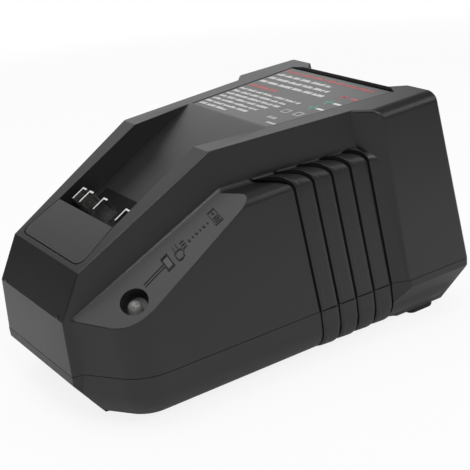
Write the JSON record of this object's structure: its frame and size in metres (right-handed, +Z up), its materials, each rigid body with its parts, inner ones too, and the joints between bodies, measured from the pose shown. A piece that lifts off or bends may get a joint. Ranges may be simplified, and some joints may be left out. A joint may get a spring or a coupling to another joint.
{
  "type": "power tool battery charger",
  "caption": "Black slide-pack battery charger for a power tool, with sloping pack slot, contact blades, ribbed vents, status light and full inner electronics.",
  "frame": {"origin": "centre of the bounding box's footprint, on the table under the feet", "axes": "+X to the side that carries the status light, +Y from the nose to the cord entry, +Z up"},
  "size_m": [0.1122, 0.187, 0.1032],
  "materials": {
    "shell_plastic": "fine moulded grain, semi-matt",
    "panel_plastic": "smooth semi-gloss panel",
    "label_film": "satin printed film without print",
    "carrier_plastic": "smooth moulded",
    "led_lens": "clear milky dome",
    "board_laminate": "solder-mask green",
    "wire_jacket": "soft jacket",
    "gland_rubber": "moulded rubber",
    "foot_rubber": "soft matt rubber",
    "screw_steel": "zinc plated",
    "contact_metal": "tin plated strip",
    "insulation_film": "translucent sheet",
    "connector_plastic": "natural nylon",
    "fuse_glass": "clear",
    "film_case": "yellow case",
    "ferrite": "sintered, dull",
    "copper_wire": "enamelled wire",
    "package_epoxy": "moulded epoxy",
    "capacitor_sleeve": "shrunk sleeve",
    "heatsink_aluminium": "extruded",
    "winding_tape": "polyester tape"
  },
  "bodies": {
    "root": {"board_screws": "screw_steel", "bridge_rectifier": "package_epoxy", "circuit_board": "board_laminate", "contact_blade_1": "contact_metal", "contact_blade_2": "contact_metal", "contact_blade_3": "contact_metal", "contact_blade_4": "contact_metal", "contact_carrier": "carrier_plastic", "contact_wires": "wire_jacket", "control_chips": "package_epoxy", "cord_gland": "gland_rubber", "foot_left_front": "foot_rubber", "foot_left_rear": "foot_rubber", "foot_right_front": "foot_rubber", "foot_right_rear": "foot_rubber", "fuse": "fuse_glass", "fuse_clips": "contact_metal", "housing_screws": "screw_steel", "insulation_sheet": "insulation_film", "label_plate": "label_film", "led_board": "board_laminate", "led_wires": "wire_jacket", "line_choke_core": "ferrite", "line_choke_winding": "copper_wire", "lower_housing": "shell_plastic", "mains_capacitor": "capacitor_sleeve", "mains_terminals": "connector_plastic", "nose_panel": "panel_plastic", "output_capacitor_1": "capacitor_sleeve", "output_capacitor_2": "capacitor_sleeve", "output_header": "connector_plastic", "output_rectifier": "package_epoxy", "primary_heatsink": "heatsink_aluminium", "secondary_heatsink": "heatsink_aluminium", "status_led": "led_lens", "suppression_capacitor": "film_case", "switching_transistor": "package_epoxy", "transformer_bobbin": "connector_plastic", "transformer_core": "ferrite", "transformer_winding": "winding_tape", "upper_housing": "shell_plastic"}
  },
  "joints": []
}
